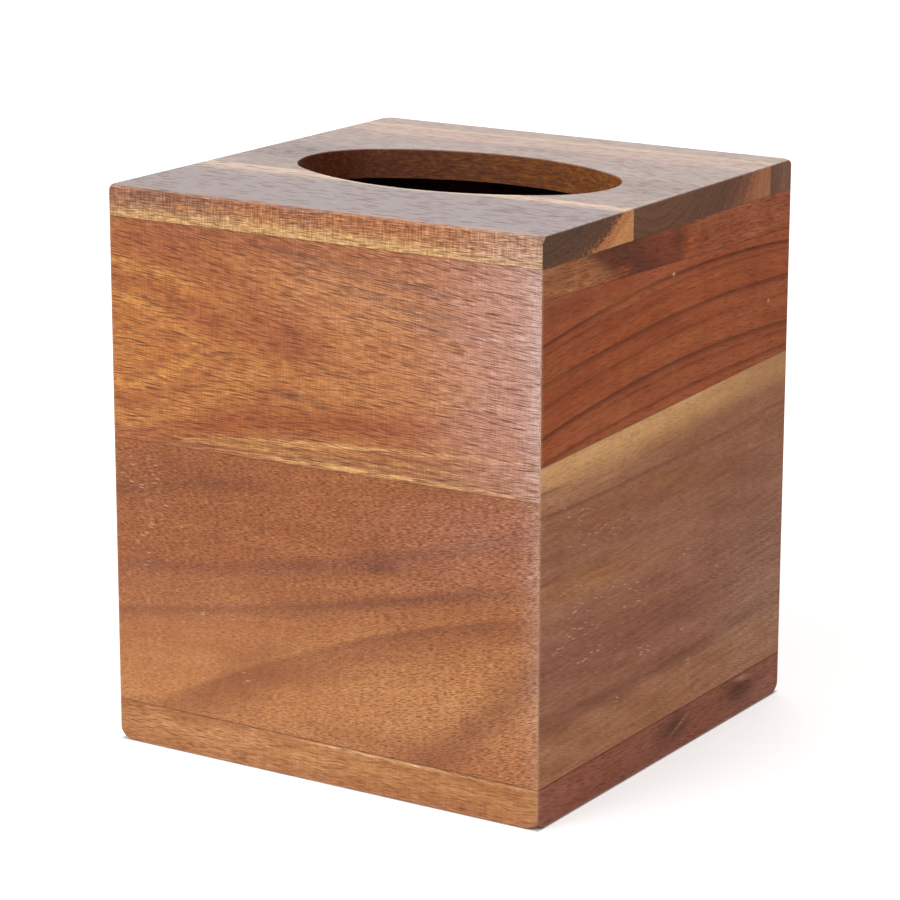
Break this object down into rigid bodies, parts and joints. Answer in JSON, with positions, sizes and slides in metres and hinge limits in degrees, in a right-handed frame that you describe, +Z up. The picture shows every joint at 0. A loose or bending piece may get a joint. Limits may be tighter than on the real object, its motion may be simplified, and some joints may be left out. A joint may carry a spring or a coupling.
{
  "type": "tissue box cover",
  "caption": "Square wooden cover that slips over a cube box of tissues, with mitred walls glued up from staves and an oval opening in its top for the tissues.",
  "frame": {"origin": "middle of the footprint, on the surface that the cover stands on", "axes": "+Z up through the oval opening; +X to the right along the front wall, parallel to the opening's long axis; -Y out of the front wall"},
  "size_m": [0.13, 0.13, 0.15],
  "materials": {
    "rosy_acacia": "satin, clear-lacquered acacia",
    "dusky_acacia": "satin, clear-lacquered acacia",
    "orange_acacia": "satin, clear-lacquered acacia",
    "tan_acacia": "satin, clear-lacquered acacia",
    "red_acacia": "satin, clear-lacquered acacia",
    "brown_acacia": "satin, clear-lacquered acacia"
  },
  "bodies": {
    "root": {"top_front_stave": "rosy_acacia", "top_middle_stave": "rosy_acacia", "top_rear_stave": "dusky_acacia", "front_upper_stave": "orange_acacia", "front_lower_stave": "tan_acacia", "front_base_strip": "orange_acacia", "right_upper_stave": "red_acacia", "right_middle_stave": "red_acacia", "right_lower_stave": "brown_acacia", "right_base_strip": "dusky_acacia", "back_upper_stave": "orange_acacia", "back_lower_stave": "red_acacia", "back_base_strip": "tan_acacia", "left_upper_stave": "brown_acacia", "left_middle_stave": "tan_acacia", "left_lower_stave": "red_acacia", "left_base_strip": "tan_acacia"}
  },
  "joints": []
}
